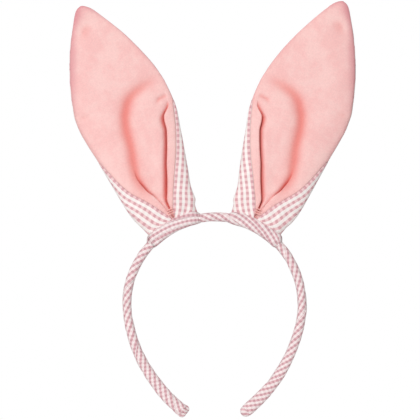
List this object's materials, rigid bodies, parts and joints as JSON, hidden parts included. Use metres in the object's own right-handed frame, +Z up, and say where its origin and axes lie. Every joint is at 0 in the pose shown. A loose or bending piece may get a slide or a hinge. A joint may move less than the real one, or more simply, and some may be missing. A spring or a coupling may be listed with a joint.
{
  "type": "animal ears headband",
  "caption": "Sprung, padded headband wound with checked cloth, carrying two tall folded fabric ears. The arms flex open over the head and the wired ears tilt forward and back.",
  "frame": {"origin": "centre of the head circle, which is the centre of the band's round upper part", "axes": "+Z up through the crown, +X to the viewer's right, the front of the ears faces -Y"},
  "size_m": [0.2004, 0.0214, 0.2908],
  "materials": {
    "core_plastic": "moulded sprung strip",
    "band_foam": "thin foam padding",
    "gingham_cotton": "pink and white woven check",
    "pink_plush": "short velour pile",
    "wadding": "polyester wadding",
    "ear_wire": "bright annealed wire",
    "thread": "sewing thread"
  },
  "bodies": {
    "crown": {"band_core_crown": "core_plastic", "band_padding_crown": "band_foam", "band_wrap_crown": "gingham_cotton", "ear_root_left": "gingham_cotton", "ear_root_right": "gingham_cotton", "ear_binding_left": "gingham_cotton", "ear_binding_right": "gingham_cotton"},
    "left_arm": {"band_core_left_arm": "core_plastic", "band_padding_left_arm": "band_foam", "band_wrap_left_arm": "gingham_cotton", "band_end_cover_left": "gingham_cotton"},
    "right_arm": {"band_core_right_arm": "core_plastic", "band_padding_right_arm": "band_foam", "band_wrap_right_arm": "gingham_cotton", "band_end_cover_right": "gingham_cotton"},
    "left_ear": {"ear_front_left": "pink_plush", "ear_back_left": "gingham_cotton", "ear_wadding_left": "wadding", "ear_wire_left": "ear_wire", "ear_tack_left": "thread"},
    "right_ear": {"ear_front_right": "pink_plush", "ear_back_right": "gingham_cotton", "ear_wadding_right": "wadding", "ear_wire_right": "ear_wire", "ear_tack_right": "thread"}
  },
  "joints": [
    {"name": "left_arm_flex", "type": "hinge", "parent": "crown", "child": "left_arm", "pos_m": [-0.05173, 0, 0.03232], "axis": [0, 1, 0], "range_deg": [-3, 18], "stiffness_Nm_per_rad": 0.4},
    {"name": "right_arm_flex", "type": "hinge", "parent": "crown", "child": "right_arm", "pos_m": [0.05173, 0, 0.03232], "axis": [0, -1, 0], "range_deg": [-3, 18], "stiffness_Nm_per_rad": 0.4},
    {"name": "left_ear_tilt", "type": "hinge", "parent": "crown", "child": "left_ear", "pos_m": [-0.02817, 0, 0.05411], "axis": [0.9239, 0, 0.3827], "range_deg": [-35, 35]},
    {"name": "right_ear_tilt", "type": "hinge", "parent": "crown", "child": "right_ear", "pos_m": [0.02817, 0, 0.05411], "axis": [0.9342, 0, -0.3567], "range_deg": [-35, 35]}
  ]
}
